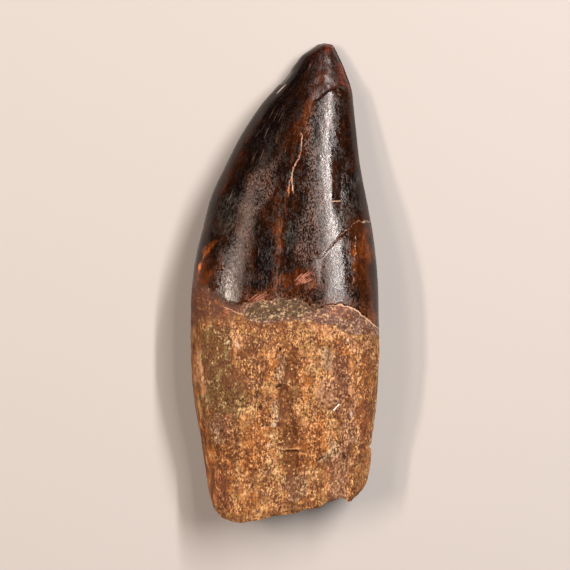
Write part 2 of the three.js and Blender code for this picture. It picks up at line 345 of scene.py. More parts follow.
def fields(side, point):
    """The masks and distances that shape the fine relief and place the colours."""
    x, y = seen(point)
    upper = side > 0
    ragged = 0.35 * fractal(point, 0.55, 4) + 0.15 * fractal(point, 2.0, 3, 7.0)
    film = ease(x, *FILM_X) * upper
    masks = {
        "film": film,
        "enamel": y - np.interp(x, ENAMEL_EDGE[:, 0], ENAMEL_EDGE[:, 1]) + ragged,
        "crust": np.interp(x, CRUST_EDGE[:, 0], CRUST_EDGE[:, 1]) - y + 1.3 * ragged,
    }
    masks["crown"] = ease(masks["enamel"], ENAMEL_STEP[0] - film, ENAMEL_STEP[1] + film)
    masks["root"] = ease(masks["crust"], CRUST_STEP[0] - film, CRUST_STEP[1] + film) * (1 - masks["crown"])
    masks["neck"] = (1 - masks["crown"]) * (1 - masks["root"])
    clods = spots(x, y, *SEDIMENT) * upper
    masks["sediment"] = ease(clods * (1 + 1.6 * fractal(point, 0.7, 4, 3.0)), 0.0, 0.9)
    flake = y - np.interp(x, FLAKE_LINE[:, 0], FLAKE_LINE[:, 1])
    masks["worn"] = ease(flake + 0.2 * fractal(point, 1.2, 3, 6.0), -0.05, 0.12) * ease(x, 3.2, 6.6) * upper
    chips = spots(x, y, *CHIPS) * upper
    masks["chips"] = ease(chips * (1 + fractal(point, 1.4, 3, 9.0)), 0.3, 0.8)

    # The marks of the root have uneven outlines, because their places drift a little.
    drift_x = 0.45 * fractal(point, 0.7, 4, 5.0)
    drift_y = 0.7 * fractal(point, 0.5, 3, 8.0)
    masks["groove"] = spots(x + 0.5 * drift_x, y + drift_y, *GROOVES) * upper
    masks["ridge"] = spots(x + 0.5 * drift_x, y + drift_y, *RIDGES) * upper
    masks["holes"] = ease(spots(x + 0.4 * drift_x, y + 0.4 * drift_y, *HOLES), 0.2, 0.7) * upper
    beside = np.abs(x + 0.3 * drift_x - POCKET["x"]) / POCKET["half_width"]
    above = np.abs(y + 0.3 * drift_y - POCKET["y"]) / POCKET["half_height"]
    masks["pocket"] = ease(np.maximum(beside, above), *POCKET["fade"]) * upper
    masks["pit"] = spots(x, y, PIT) * upper
    return masks


def root_relief(u, side, point, masks):
    """Height of the root's grain, fibres, pits and marks."""
    x, y = seen(point)
    at_edge = ease(np.abs(u), 0.72, 0.95)
    grain = RELIEF["root_grain"] * fractal(point, 0.55, 5)
    grain += RELIEF["root_sand"] * fractal(point, 1.7, 3, 4.0)
    fibres = RELIEF["root_fibres"] * fractal(point * ALONG_GROWTH, 1.5, 3, 6.0)
    pits = ease(cells(point, 0.95), 0.42, 0.12) * ease(fractal(point, 0.5, 2, 2.0), -0.1, 0.4)
    height = grain * (1 - 0.6 * at_edge) + fibres * at_edge + RELIEF["root_pits"] * pits * (1 - at_edge)
    for name in ("groove", "ridge", "pocket", "pit", "holes"):
        height += RELIEF[name] * masks[name]
    shelf, on_shelf = cross_line(x, y, CROSS_LINES["shelf"])
    height += RELIEF["shelf"] * on_shelf * ease(np.abs(shelf), *SHELF_FADE)
    wall, on_wall = down_line(x, y, DOWN_LINES["groove_wall"], 1.5)
    return height + on_wall * np.interp(wall, *WALL_RELIEF) * (side > 0)


def crown_relief(side, point, masks):
    """Height of the enamel's waves, its low steps and furrows, the worn scar and the chips."""
    x, y = seen(point)
    stretched = point * ALONG_GROWTH
    height = RELIEF["crown_waves"] * fractal(stretched, 0.42, 3, 2.0)
    height += RELIEF["crown_ripples"] * fractal(stretched, 1.6, 2, 8.0)
    crack, on_crack = down_line(x, y, DOWN_LINES["crack"])
    ledge, on_ledge = down_line(x, y, LEDGE, 4.0)
    arc, on_arc = cross_line(x, y, CROSS_LINES["arc"], 1.5)
    lines = RELIEF["crack"] * on_crack * ease(np.abs(crack), CRACK_HALF_WIDTH, 0.0)
    lines += on_ledge * np.interp(ledge, *LEDGE_RELIEF) + on_arc * np.interp(arc, *ARC_RELIEF)
    height += lines * (side > 0)
    height += masks["worn"] * (RELIEF["worn"] - RELIEF["worn_lumps"] * fractal(point, 0.6, 2, 1.5))
    return height + masks["chips"] * (RELIEF["chips"] - RELIEF["chip_lumps"] * fractal(point, 2.0, 2))


def fine_relief(u, side, point, masks):
    """How far the real surface stands out of the smooth form."""
    y = seen(point)[1]
    inwards = np.minimum(1, 4 * (1 - np.abs(u)))
    height = RELIEF["neck"] * masks["neck"] * inwards * (1 - 0.7 * masks["film"])
    height += lump_height(point[:, 0], point[:, 1], side) * (1 - masks["crown"]) * inwards
    height += masks["root"] * root_relief(u, side, point, masks)
    height += masks["neck"] * RELIEF["neck_grain"] * fractal(point, 1.2, 4, 1.0)
    clods = RELIEF["sediment"] + RELIEF["clods"] * fractal(point, 1.5, 3, 2.5)
    height += masks["sediment"] * (1 - masks["root"]) * clods
    height += masks["crown"] * crown_relief(side, point, masks)

    step = ease(y, *LEAD_STEP["from"]) * ease(y, *LEAD_STEP["to"])
    height -= LEAD_STEP["depth"] * step * ease(u, *LEAD_STEP["edge"])
    notch = np.exp(-(((y - TRAIL_NOTCH["y"]) / TRAIL_NOTCH["half_height"]) ** 2))
    return height - TRAIL_NOTCH["depth"] * notch * ease(u, *TRAIL_NOTCH["edge"])


def column_positions(count):
    """Places across a face, crowded towards its edges."""
    even = np.linspace(-1, 1, count + 1)
    crowded = -np.cos(np.linspace(0, math.pi, count + 1))
    return mix(even, crowded, COLUMN_CROWDING)


def row_positions():
    """Rows from the broken edge to just below the tip, as values of v."""
    fine = np.linspace(0, TIP, 4000)
    heights = section(AT_Y, fine)
    break_rows = round((SECTIONS[0, AT_Y] - BREAK[:, 1].mean()) / ROOT_STEP)
    root_y = np.arange(SECTIONS[0, AT_Y], CROWN_FROM, ROOT_STEP)
    crown_y = np.arange(CROWN_FROM, SECTIONS[-1, AT_Y] - 0.02, CROWN_STEP)
    above = np.interp(np.concatenate([root_y, crown_y]), heights, fine)
    return np.concatenate([np.linspace(-1, 0, break_rows, endpoint=False), above])


def stitch(first, first_u, second, second_u):
    """Triangles between two rows of vertices that run the same way but differ in number."""
    triangles = []
    i = j = 0
    while i < len(first) - 1 or j < len(second) - 1:
        can_first = i < len(first) - 1
        next_first = first_u[i + 1] if can_first else math.inf
        next_second = second_u[j + 1] if j < len(second) - 1 else math.inf
        if can_first and next_first <= next_second:
            triangles.append((first[i], second[j], first[i + 1]))
            i += 1
        else:
            triangles.append((first[i], second[j], second[j + 1]))
            j += 1
    return [t for t in triangles if len(set(t)) == 3]


def ring_faces(rings, tip):
    """The faces between the rings of vertices, and those that close the last ring on the tip."""
    below, above = rings[:-1], rings[1:]
    corners = [below, np.roll(below, -1, axis=1), np.roll(above, -1, axis=1), above]
    top = rings[-1].tolist()
    closing = [(a, b, tip) for a, b in zip(top, top[1:] + top[:1])]
    return np.stack(corners, axis=-1).reshape(-1, 4).tolist() + closing


def close_break(ring, first, shaped, upper_u, lower_u):
    """Inner points and faces of the broken end, in layers from the upper face's edge to the underside's."""
    upper_row = ring[: UPPER_COLUMNS + 1]
    lower_row = [ring[0], *ring[:UPPER_COLUMNS:-1], ring[UPPER_COLUMNS]]
    low_edge = np.stack([np.interp(upper_u, lower_u, shaped[lower_row, k]) for k in range(3)], axis=-1)
    shares = np.arange(1, BREAK_LAYERS) / BREAK_LAYERS
    inner = mix(shaped[upper_row][None, 1:-1], low_edge[None, 1:-1], shares[:, None, None])
    inner = broken_end(inner.reshape(-1, 3), np.repeat(shares, UPPER_COLUMNS - 1))
    numbers = first + np.arange(len(inner)).reshape(BREAK_LAYERS - 1, UPPER_COLUMNS - 1)
    layers = [upper_row]
    layers += [[upper_row[0], *row, upper_row[-1]] for row in numbers.tolist()]
    faces = []
    for over, under in zip(layers, layers[1:]):
        for i in range(UPPER_COLUMNS):
            corners = [over[i], under[i], under[i + 1], over[i + 1]]
            faces.append([c for k, c in enumerate(corners) if c not in corners[:k]])
    return inner, faces + stitch(layers[-1], upper_u, lower_row, lower_u)


def tooth_mesh():
    """The tooth's mesh, the places of its vertices on the smooth form, and the values to store at them."""
    upper_u, lower_u = column_positions(UPPER_COLUMNS), column_positions(LOWER_COLUMNS)
    rows = row_positions()
    ring_u = np.concatenate([upper_u[:-1], lower_u[:0:-1]])
    ring_side = np.concatenate([np.ones(UPPER_COLUMNS), -np.ones(LOWER_COLUMNS)])
    u = np.tile(ring_u, (len(rows), 1))
    side = np.tile(ring_side, (len(rows), 1))
    v = np.repeat(rows[:, None], len(ring_u), axis=1)
    grid = smooth_surface(u, v, side)
    normal = normals_of(grid).reshape(-1, 3)

    point = grid.reshape(-1, 3)
    u, side = u.reshape(-1), side.reshape(-1)
    masks = fields(side, point)
    shaped = point + normal * fine_relief(u, side, point, masks)[:, None]
    shaped[:, 2] = np.maximum(shaped[:, 2], 0)

    tip = len(shaped)
    tip_point = smooth_surface(np.zeros(1), np.full(1, float(TIP)), np.ones(1))
    rings = np.arange(tip).reshape(len(rows), len(ring_u))
    inner, break_faces = close_break(rings[0].tolist(), tip + 1, shaped, upper_u, lower_u)
    points = np.concatenate([shaped, tip_point, inner])
    mesh = bpy.data.meshes.new("fossil_tooth")
    mesh.from_pydata((points * MM).tolist(), [], ring_faces(rings, tip) + break_faces)
    mesh.update()

    # The tip and the broken end follow in the stored values.
    added = points[tip:]
    added_masks = fields(np.ones(len(added)), added)
    values = {name: np.concatenate([masks[name], added_masks[name]]) for name in masks}
    values["end"] = (np.arange(len(points)) > tip).astype(float)
    values["u"] = np.concatenate([u, added[:, 0] / SECTIONS[0, TRAIL]])
    values["side"] = np.concatenate([side, np.ones(len(added))])
    return mesh, np.concatenate([point, added]), values


def from_hollow(points):
    """How far points lie across and above the middle of the broken end's hollow, as shares of its size."""
    middle = (SECTIONS[0, LOW] + SECTIONS[0, HIGH]) / 2
    across = (points[:, 0] - BREAK_HOLLOW["x"]) / BREAK_HOLLOW["half_width"]
    return across, (points[:, 2] - middle) / BREAK_HOLLOW["half_height"]


def broken_end(points, share):
    """The rough broken face, with the filled hollow of the pulp cavity."""
    across, upwards = from_hollow(points)
    inset = np.sin(math.pi * share)
    hollow = BREAK_HOLLOW["depth"] * np.exp(-(across**2 + upwards**2))
    flat = points * np.array([1.0, 0.0, 1.0])
    rough = 0.45 * fractal(flat, 0.28, 4, 11.0) + 0.14 * fractal(flat, 1.3, 4, 5.0)
    moved = points.copy()
    moved[:, 1] += hollow * inset + rough * np.minimum(1, 2.5 * inset)
    return moved


def set_values(mesh, name, values):
    mesh.attributes.new(name, "FLOAT", "POINT").data.foreach_set("value", values.astype(np.float32))


def set_vectors(mesh, name, *columns):
    data = np.stack(columns, axis=-1).astype(np.float32)
    mesh.attributes.new(name, "FLOAT_VECTOR", "POINT").data.foreach_set("vector", data.reshape(-1))


def store_fields(mesh, point, values):
    """Stores what the material reads: masks, places, distances from the lines and soft areas of colour."""
    x, y = seen(point)
    for name in ("enamel", "crust", "film", "sediment", "worn", "chips", "groove", "pocket"):
        set_values(mesh, name, values[name])
    set_vectors(mesh, "seen", x, y, np.zeros_like(x))
    set_vectors(mesh, "flow", values["u"] * FLOW_HALF_WIDTH, point[:, 1], values["side"] * FLOW_SIDE)
    lines = {name: down_line(x, y, line) for name, line in DOWN_LINES.items()}
    lines.update({name: cross_line(x, y, line) for name, line in CROSS_LINES.items()})
    for name, (distance, weight) in lines.items():
        set_vectors(mesh, name, distance, weight * (values["side"] > 0), np.zeros_like(x))
    uneven = 1 + 0.5 * fractal(point, 0.5, 4, 21.0)
    filling = ease(np.hypot(*from_hollow(point)) * uneven, 1.15, 0.9)
    set_values(mesh, "filling", filling * values["end"])
    drift_x = 1.3 * fractal(point, 0.3, 4, 13.0)
    drift_y = 1.8 * fractal(point, 0.25, 4, 17.0)
    for name, places in TONES.items():
        set_values(mesh, name, spots(x + drift_x, y + drift_y, *places))


# Soft areas of colour on the root, the neck and the crown.
TONES = {
    "olive": ((-13.0, -15.5, 7.0, 3.8, 84), (-10.0, -22.5, 6.0, 2.6, 70), (-11.5, -9.6, 3.4, 2.8, 0)),
    "mauve": (
        (9.6, -18.5, 6.0, 1.6, 88), (9.8, -34.0, 7.0, 2.2, 84), (12.0, -25.5, 5.0, 1.4, 85),
        (7.0, -20.0, 2.4, 1.6, 90),
    ),
    "orange": (
        (5.4, -28.5, 4.6, 2.4, 70), (10.0, -12.6, 3.4, 1.0, 90), (14.4, -16.5, 5.0, 1.4, 90),
        (-2.4, -15.3, 2.4, 1.2, 80), (3.4, -18.0, 3.6, 1.0, 88), (-14.4, -29.0, 6.0, 1.5, 100),
        (-5.5, -30.0, 4.6, 2.4, 84), (-10.8, -33.5, 4.0, 1.6, 96),
    ),
    "red": ((14.2, -25.0, 4.0, 1.4, 90), (-11.5, -37.5, 4.0, 1.4, 105)),
    "grey": (
        (1.6, -36.3, 2.4, 1.6, 90), (-1.9, -23.4, 2.8, 0.9, 86), (-0.6, -16.4, 2.6, 0.7, 90),
        (-12.0, -26.5, 3.4, 1.6, 80), (7.6, -14.5, 2.4, 1.4, 90), (8.6, -30.5, 3.0, 1.0, 70),
    ),
    "light": (
        (4.6, -19.5, 12.0, 2.2, 88), (-2.6, -20.5, 5.6, 1.4, 88), (12.2, -15.5, 7.0, 1.2, 92),
        (8.0, -9.4, 3.6, 1.6, 0), (-8.6, -9.6, 4.0, 1.2, 95), (5.6, -31.5, 4.0, 2.2, 60),
        (-2.6, -32.5, 3.0, 1.6, 88), (-15.4, -15.5, 6.0, 1.0, 92),
    ),
    "shade": (
        (-4.0, -7.6, 5.5, 1.4, 0), (10.0, -15.5, 6.0, 0.9, 90), (15.0, -16.0, 12.0, 1.4, 90),
        (1.6, -24.0, 16.0, 1.0, 90), (-9.6, -17.4, 3.2, 2.0, 80), (-13.0, -12.0, 5.0, 2.6, 80),
        (-6.0, -11.0, 3.4, 2.4, 60), (-4.6, -16.4, 3.0, 1.4, 60), (-9.6, -29.0, 3.4, 1.6, 88),
        (-3.4, -36.0, 4.0, 2.4, 88), (-9.8, -34.0, 4.4, 2.0, 90),
    ),
    # Sheen areas of the crown: rougher enamel, and mauve-grey speckles of painted sheen.
    "sheen": (
        (-4.4, 17.0, 7.0, 2.0, 66), (-7.4, 8.0, 6.0, 1.8, 76), (4.6, 6.5, 9.0, 2.4, 94),
        (5.6, 14.0, 5.0, 1.4, 94), (4.4, 24.0, 8.0, 1.0, 84),
    ),
    "slate": (
        (12.0, 12.4, 3.0, 1.4, 60), (-10.6, 12.0, 4.6, 1.8, 66), (12.6, 17.4, 2.2, 0.9, 80),
        (1.2, 9.0, 2.6, 1.2, 90),
    ),
    "cream": (
        (-15.4, -15.5, 5.0, 1.0, 92), (7.8, -8.9, 3.8, 1.1, -8), (13.6, -10.6, 2.6, 1.0, 0),
        (-8.8, -9.4, 3.4, 1.2, 100), (-10.5, -25.5, 3.0, 1.2, 70), (12.4, -19.0, 3.0, 1.0, 100),
    ),
    "glow": ((-13.9, 5.9, 1.9, 0.9, 75), (-15.2, 2.6, 1.6, 0.4, 85)),
    "amber": ((-14.2, 1.6, 4.6, 1.2, 85), (-15.2, -1.0, 3.4, 1.2, 90)),
    "ember": ((10.9, 37.8, 4.6, 0.8, 104), (8.6, 42.0, 1.6, 0.8, -10)),
    "warm": (
        (13.8, 3.0, 8.4, 2.0, 95), (14.8, -4.5, 3.6, 1.6, 95), (-1.3, 9.0, 5.0, 0.7, 97),
        (1.5, -0.4, 6.0, 2.2, 10), (5.0, 32.5, 5.0, 1.5, 62), (3.6, 27.5, 4.0, 1.4, 80),
    ),
    "black": (
        (-2.6, 28.4, 9.4, 2.8, 62), (3.4, 13.0, 5.0, 0.9, 92), (-9.2, 14.4, 4.6, 1.6, 62),
        (12.2, 18.0, 2.6, 1.2, 80), (1.6, 7.6, 3.0, 1.2, 80), (-3.8, -0.4, 3.4, 1.6, 10),
        (-3.6, 5.6, 4.6, 1.2, 92), (5.0, 40.4, 3.4, 2.2, 60), (2.4, 37.0, 3.6, 1.6, 60),
    ),
    "rust": ((8.6, -5.6, 3.0, 1.0, 12), (-10.0, -4.9, 2.0, 0.8, 0), (3.0, -0.9, 2.4, 1.2, 20)),
    "pitted": ((-9.4, -0.5, 4.6, 1.6, 98), (10.0, 0.5, 5.0, 1.2, 90)),
    "clump": ((-0.8, -5.9, 1.9, 0.9, 0), (-5.6, -5.2, 1.4, 0.6, 20), (3.4, -5.2, 1.4, 0.8, 30)),
    "edge_line": ((12.8, -5.2, 5.6, 2.2, -28),),
}


class Pattern:
    """The shader nodes of one material, joined by short calls, so that a finish reads as a recipe."""

    def __init__(self, name):
        self.material = bpy.data.materials.new(name)
        self.material.use_nodes = True
        self.tree = self.material.node_tree
        self.shader = self.tree.nodes["Principled BSDF"]
        self.known = {}
        metres = self.node("ShaderNodeTexCoord").outputs["Object"]
        self.place = self.vector("MULTIPLY", metres, (1 / MM, 1 / MM, 1 / MM))

    def put(self, socket, value):
        """Links a socket to another one, or sets its value."""
        if isinstance(value, bpy.types.NodeSocket):
            self.tree.links.new(value, socket)
        else:
            socket.default_value = value

    def node(self, kind, inputs=None, **settings):
        node = self.tree.nodes.new(kind)
        for name, value in settings.items():
            setattr(node, name, value)
        for name, value in (inputs or {}).items():
            self.put(node.inputs[name], value)
        return node

    def read(self, name, output="Fac"):
        """A value or a vector that is stored in the mesh."""
        if name not in self.known:
            self.known[name] = self.node("ShaderNodeAttribute", attribute_name=name)
        return self.known[name].outputs[output]

    def vector(self, operation, a, b):
        return self.node("ShaderNodeVectorMath", {0: a, 1: b}, operation=operation).outputs["Vector"]

    def parts(self, vector):
        return self.node("ShaderNodeSeparateXYZ", {0: vector}).outputs

    def math(self, operation, a, b=0.0):
        return self.node("ShaderNodeMath", {0: a, 1: b}, operation=operation).outputs[0]

    def chain(self, operation, values):
        total = values[0]
        for value in values[1:]:
            total = self.math(operation, total, value)
        return total

    def add(self, *values):
        return self.chain("ADD", values)

    def times(self, *values):
        return self.chain("MULTIPLY", values)

    def most(self, *values):
        return self.chain("MAXIMUM", values)

    def flip(self, value):
        return self.math("SUBTRACT", 1.0, value)

    def stretch(self, value, gain, shift=0.0):
        """Moves noise away from its middle, 0.5."""
        return self.add(self.times(value, gain), 0.5 - 0.5 * gain + shift)

    def ease(self, value, start, end):
        """0 up to start, 1 from end on, and a smooth rise between them. start may be the larger."""
        inputs = {"Value": value, "From Min": start, "From Max": end}
        return self.node("ShaderNodeMapRange", inputs, interpolation_type="SMOOTHSTEP").outputs["Result"]

    def mix(self, a, b, share):
        """Straight-line blend from a to b, of numbers."""
        return self.node("ShaderNodeMix", {0: share, 2: a, 3: b}, data_type="FLOAT").outputs[0]

    def paint(self, under, over, *shares):
        """Straight-line blend from one colour to another, by the product of the shares."""
        inputs = {0: self.times(*shares), 6: under, 7: over}
        return self.node("ShaderNodeMix", inputs, data_type="RGBA").outputs[2]

    def ramp(self, value, *stops):
        """A run of colours, each stop a (place from 0 to 1, colour)."""
        node = self.node("ShaderNodeValToRGB", {"Fac": value})
        first, last = node.color_ramp.elements
        first.position, first.color = stops[0]
        last.position, last.color = stops[-1]
        for place, colour in stops[1:-1]:
            node.color_ramp.elements.new(place).color = colour
        return node.outputs["Color"]

    def swing(self, noise, gain):
        """Noise as a swing about 0."""
        return self.times(self.add(noise, -0.5), gain)

    def paint_where(self, under, over, value, start, end, most):
        """Paints one colour on another where the value has eased from start to end, with a share of most."""
        return self.paint(under, over, self.ease(value, start, end), most)

    def moved(self, place, squeeze, shift):
        """A place, or else the tooth's own, squeezed and shifted."""
        moved = self.vector("MULTIPLY", self.place if place is None else place, squeeze)
        return self.vector("ADD", moved, (shift, shift, shift))

    def noise(self, scale, detail, rough, place=None, squeeze=(1, 1, 1), shift=0.0, distortion=0.0):
        """Noise around 0.5, with waves of 1 / scale mm, drawn out along the axes where squeeze is small."""
        inputs = {"Vector": self.moved(place, squeeze, shift), "Scale": scale, "Detail": detail}
        inputs.update({"Roughness": rough, "Distortion": distortion})
        return self.node("ShaderNodeTexNoise", inputs).outputs["Fac"]

    def grains(self, scale, squeeze, shift, bend):
        """Crowded grains: the distance from the middle of each, and two random numbers for each."""
        start = self.moved(None, squeeze, shift)
        wave = self.node("ShaderNodeTexNoise", {"Vector": start, "Scale": scale * 0.8, "Detail": 1.0})
        offset = self.vector("MULTIPLY", wave.outputs["Color"], (bend / scale,) * 3)
        bent = self.vector("ADD", start, offset)
        node = self.node("ShaderNodeTexVoronoi", {"Vector": bent, "Scale": scale})
        random = self.parts(node.outputs["Color"])
        return node.outputs["Distance"], random[0], random[1]

    def on_top(self):
        """1 on the upper face, 0 underneath."""
        return self.ease(self.parts(self.read("flow", "Vector"))["Z"], 0.0, FLOW_SIDE / 2)

    def line(self, name, width, wobble):
        """1 on a stored line, falling to 0 at its width, times its weight."""
        parts = self.parts(self.read(name, "Vector"))
        distance = self.math("ABSOLUTE", self.add(parts["X"], wobble))
        return self.times(self.ease(distance, width, width * 0.3), parts["Y"])

    def dab(self, spot, wobble):
        """1 inside a spot, with a ragged edge."""
        x, y, half_length, half_width, turn = spot
        away = self.vector("SUBTRACT", self.read("seen", "Vector"), (x, y, 0))
        inputs = {"Vector": away, "Angle": math.radians(-turn)}
        away = self.node("ShaderNodeVectorRotate", inputs, rotation_type="Z_AXIS").outputs["Vector"]
        away = self.vector("MULTIPLY", away, (1 / half_length, 1 / half_width, 0))
        length = self.node("ShaderNodeVectorMath", {0: away}, operation="LENGTH").outputs["Value"]
        return self.ease(self.add(length, wobble), *DAB_FADE)

    def finish(self, colour, roughness, height):
        self.put(self.shader.inputs["Base Color"], colour)
        self.put(self.shader.inputs["Roughness"], roughness)
        bump = self.node("ShaderNodeBump", {"Height": height, "Distance": MM})
        self.put(self.shader.inputs["Normal"], bump.outputs["Normal"])


def srgb(red, green, blue):
    """A colour of the screen, 0 to 255, as linear light."""
    values = [c / 255 for c in (red, green, blue)]
    return (*[c / 12.92 if c <= 0.04045 else ((c + 0.055) / 1.055) ** 2.4 for c in values], 1.0)


FOSSIL_IOR = 1.42
ENAMEL_RAMP = (
    (0.0, srgb(8, 2, 1)),
    (0.25, srgb(25, 8, 1)),
    (0.5, srgb(49, 20, 3)),
    (0.7, srgb(86, 40, 8)),
    (0.86, srgb(136, 70, 18)),
    (1.0, srgb(196, 116, 52)),
)
ENAMEL_BLACK = srgb(14, 6, 5)
ENAMEL_EMBER = srgb(124, 40, 20)
# The mauve-grey of the painted sheen on the enamel.
ENAMEL_PAINTED_SHEEN = srgb(112, 92, 84)
ENAMEL_SLATE = srgb(58, 58, 52)
ENAMEL_ORANGE = srgb(164, 86, 32)
ENAMEL_PALE = srgb(206, 170, 142)
ENAMEL_STAIN = srgb(112, 64, 34)
CHIP_PINK = srgb(178, 116, 90)
CHIP_GREY = srgb(178, 164, 156)
CHIP_BROWN = srgb(112, 62, 44)
WORN_BROWN = srgb(58, 22, 8)
ROOT_TAN = srgb(150, 115, 64)
ROOT_ORANGE = srgb(160, 98, 38)
ROOT_OLIVE = srgb(94, 92, 52)
ROOT_MAUVE = srgb(138, 102, 80)
ROOT_RED = srgb(140, 78, 42)
ROOT_GREY = srgb(152, 132, 106)
ROOT_PINK = srgb(166, 118, 82)
ROOT_BROWN = srgb(94, 52, 16)
ROOT_DEEP = srgb(68, 29, 4)
ROOT_AMBER = srgb(92, 50, 8)
ROOT_PIT = srgb(42, 20, 8)
ROOT_CREAM = srgb(204, 166, 118)
ROOT_WHITE = srgb(255, 246, 228)
NECK_BROWN = srgb(98, 56, 18)
NECK_MAUVE = srgb(124, 98, 82)
NECK_RUST = srgb(138, 74, 38)
SEDIMENT_GREY = srgb(90, 76, 52)
SEDIMENT_DARK = srgb(50, 44, 28)
SEDIMENT_PALE = srgb(170, 148, 116)


# How far each soft area moves the enamel along its run of colours, and how much it lightens the root.
ENAMEL_SHIFTS = {"warm": 0.26, "amber": 0.26, "glow": 0.44, "ember": 0.12, "black": -0.24}
# The groove and the pocket are darkened here: painted shade in these hollows.
ROOT_SHIFTS = {"light": 0.15, "cream": 0.04, "shade": -0.14, "groove": -0.12, "pocket": -0.16}
ROOT_HUES = {
    "orange": ROOT_ORANGE,
    "olive": ROOT_OLIVE,
    "mauve": ROOT_MAUVE,
    "red": ROOT_RED,
    "grey": ROOT_GREY,
    "cream": ROOT_PINK,
}


def enamel_lines(p, colour, streaks, fine, grain, uneven):
    """Paints the crack, the streaks, the arc and the small mark, and gives the crack and the arc too."""
    broken = p.ease(p.noise(1.1, 3, 0.7, shift=17.0), 0.4, 0.6)
    branch = p.line("branch", 0.14, p.times(uneven, 0.6))
    crack = p.most(p.line("crack", 0.13, p.times(uneven, 0.9)), p.times(branch, 0.8))
    crack = p.times(crack, p.mix(0.35, 1.0, broken))
    colour = p.paint(colour, p.paint(ENAMEL_ORANGE, ENAMEL_PALE, p.ease(fine, 0.45, 0.6)), crack)
    streak = p.times(p.line("streak", 0.9, uneven), p.ease(p.add(streaks, fine), 0.95, 1.25))
    colour = p.paint(colour, ENAMEL_ORANGE, streak, 0.2)
    pale = p.line("pale_streak", 0.12, p.times(uneven, 1.2))
    pale = p.times(pale, p.ease(p.add(fine, grain), 0.95, 1.15))
    colour = p.paint(colour, ENAMEL_PALE, pale, 0.5)
    arc = p.times(p.line("arc", 0.12, p.times(uneven, 1.4)), p.mix(0.1, 1.0, broken))
    colour = p.paint(colour, ENAMEL_PALE, arc, 0.7)
    mark = p.line("mark", 0.13, p.times(uneven, 0.8))
    return p.paint(colour, ENAMEL_PALE, mark, 0.7), crack, arc


def enamel_marks(p, colour, cloud, grain, glint, uneven):
    """Paints the chips, the stain near the enamel's edge and the scar, and gives chips and stain too."""
    slivers = p.most(*[p.dab(spot, p.times(uneven, 2.4)) for spot in strokes()])
    chips = p.times(slivers, p.on_top(), p.mix(0.5, 1.0, p.ease(grain, 0.4, 0.6)))
    colour = p.paint(colour, CHIP_BROWN, p.read("chips"), p.ease(grain, 0.35, 0.65), 0.8)
    colour = p.paint(colour, CHIP_PINK, chips, 0.7)
    colour = p.paint(colour, CHIP_GREY, p.dab(LEAD_STREAK, p.times(uneven, 1.2)), 0.8)
    near_edge = p.ease(p.add(p.read("enamel"), p.times(uneven, 5.0)), 2.8, 0.3)
    stain = p.times(near_edge, p.flip(p.read("film")), p.ease(p.add(grain, glint), 0.85, 1.15))
    stain = p.times(stain, 0.5)
    colour = p.paint(colour, ENAMEL_STAIN, stain)
    scar = p.paint(WORN_BROWN, ENAMEL_BLACK, p.ease(p.add(grain, cloud), 1.06, 0.9))
    colour = p.paint(colour, scar, p.read("worn"), 0.6, p.flip(p.read("ember")))
    return colour, chips, stain


def enamel_finish(p):
    """Dark glossy enamel: red-brown, blacker towards the leading edge, and streaked along the growth."""
    flow = p.read("flow", "Vector")
    streaks = p.noise(0.8, 4, 0.65, flow, (1, 0.12, 1), 3.0, 0.5)
    fine = p.noise(2.8, 3, 0.7, flow, (1, 0.16, 1), 8.0, 0.4)
    cloud = p.noise(0.45, 4, 0.65, flow, (1, 0.5, 1), 5.0, 0.5)
    grain = p.noise(2.6, 3, 0.7, squeeze=(1, 0.6, 1), shift=2.0)
    speckle = p.noise(2.4, 3, 0.65, squeeze=(1, 0.5, 1), shift=9.0)
    glint = p.noise(4.6, 2, 0.6, squeeze=(1, 0.5, 1), shift=44.0)
    uneven = p.add(p.noise(1.5, 3, 0.6, shift=1.0), -0.5)
    tone = p.add(p.times(streaks, 0.24), p.times(fine, 0.14), p.times(cloud, 0.42), p.times(grain, 0.2))
    tone = p.stretch(tone, 2.5, -0.24)
    for name, shift in ENAMEL_SHIFTS.items():
        tone = p.add(tone, p.times(p.read(name), shift))
    colour = p.ramp(tone, *ENAMEL_RAMP)
    # Mauve-grey speckles in the sheen areas: a painted sheen of reflected light.
    painted_sheen = p.times(p.read("sheen"), p.ease(p.add(glint, p.times(grain, 0.5)), 0.68, 0.92))
    colour = p.paint(colour, ENAMEL_PAINTED_SHEEN, painted_sheen, 0.5)
    slate = p.times(p.read("slate"), p.ease(p.add(speckle, cloud), 0.8, 1.3))
    colour = p.paint(colour, ENAMEL_SLATE, slate, 0.7)
    ember = p.times(p.read("ember"), p.ease(p.add(fine, grain), 0.9, 1.15))
    colour = p.paint(colour, ENAMEL_EMBER, ember, 0.6)
    scratches = p.ease(p.noise(5.0, 1, 0.5, flow, (1, 0.05, 1), 21.0), 0.66, 0.74)
    colour = p.paint(colour, ENAMEL_PALE, scratches, p.read("black"), 0.16)
    colour, crack, arc = enamel_lines(p, colour, streaks, fine, grain, uneven)
    colour, chips, stain = enamel_marks(p, colour, cloud, grain, glint, uneven)

    patch = p.times(p.noise(0.5, 3, 0.6, shift=33.0), 0.4)
    gloss = p.ease(p.add(p.times(speckle, 0.5), p.times(glint, 0.5), patch), 0.62, 0.8)
    matt = p.times(p.read("sheen"), p.ease(p.add(glint, p.times(speckle, 0.5)), 0.66, 0.9))
    rough = p.mix(p.mix(0.07, 0.32, gloss), 0.46, matt)
    rough = p.mix(rough, 0.45, p.most(chips, stain, p.times(p.read("worn"), 0.4), crack))
    height = p.add(
        p.times(grain, p.mix(0.03, 0.044, p.read("pitted"))),
        p.times(glint, p.mix(0.008, 0.016, p.read("pitted"))),
        p.times(p.noise(1.2, 3, 0.6, shift=6.0), 0.018),
        p.times(scratches, -0.004),
        p.times(crack, -0.02),
        p.times(arc, -0.04),
        p.times(chips, -0.06),
    )
    return colour, rough, height


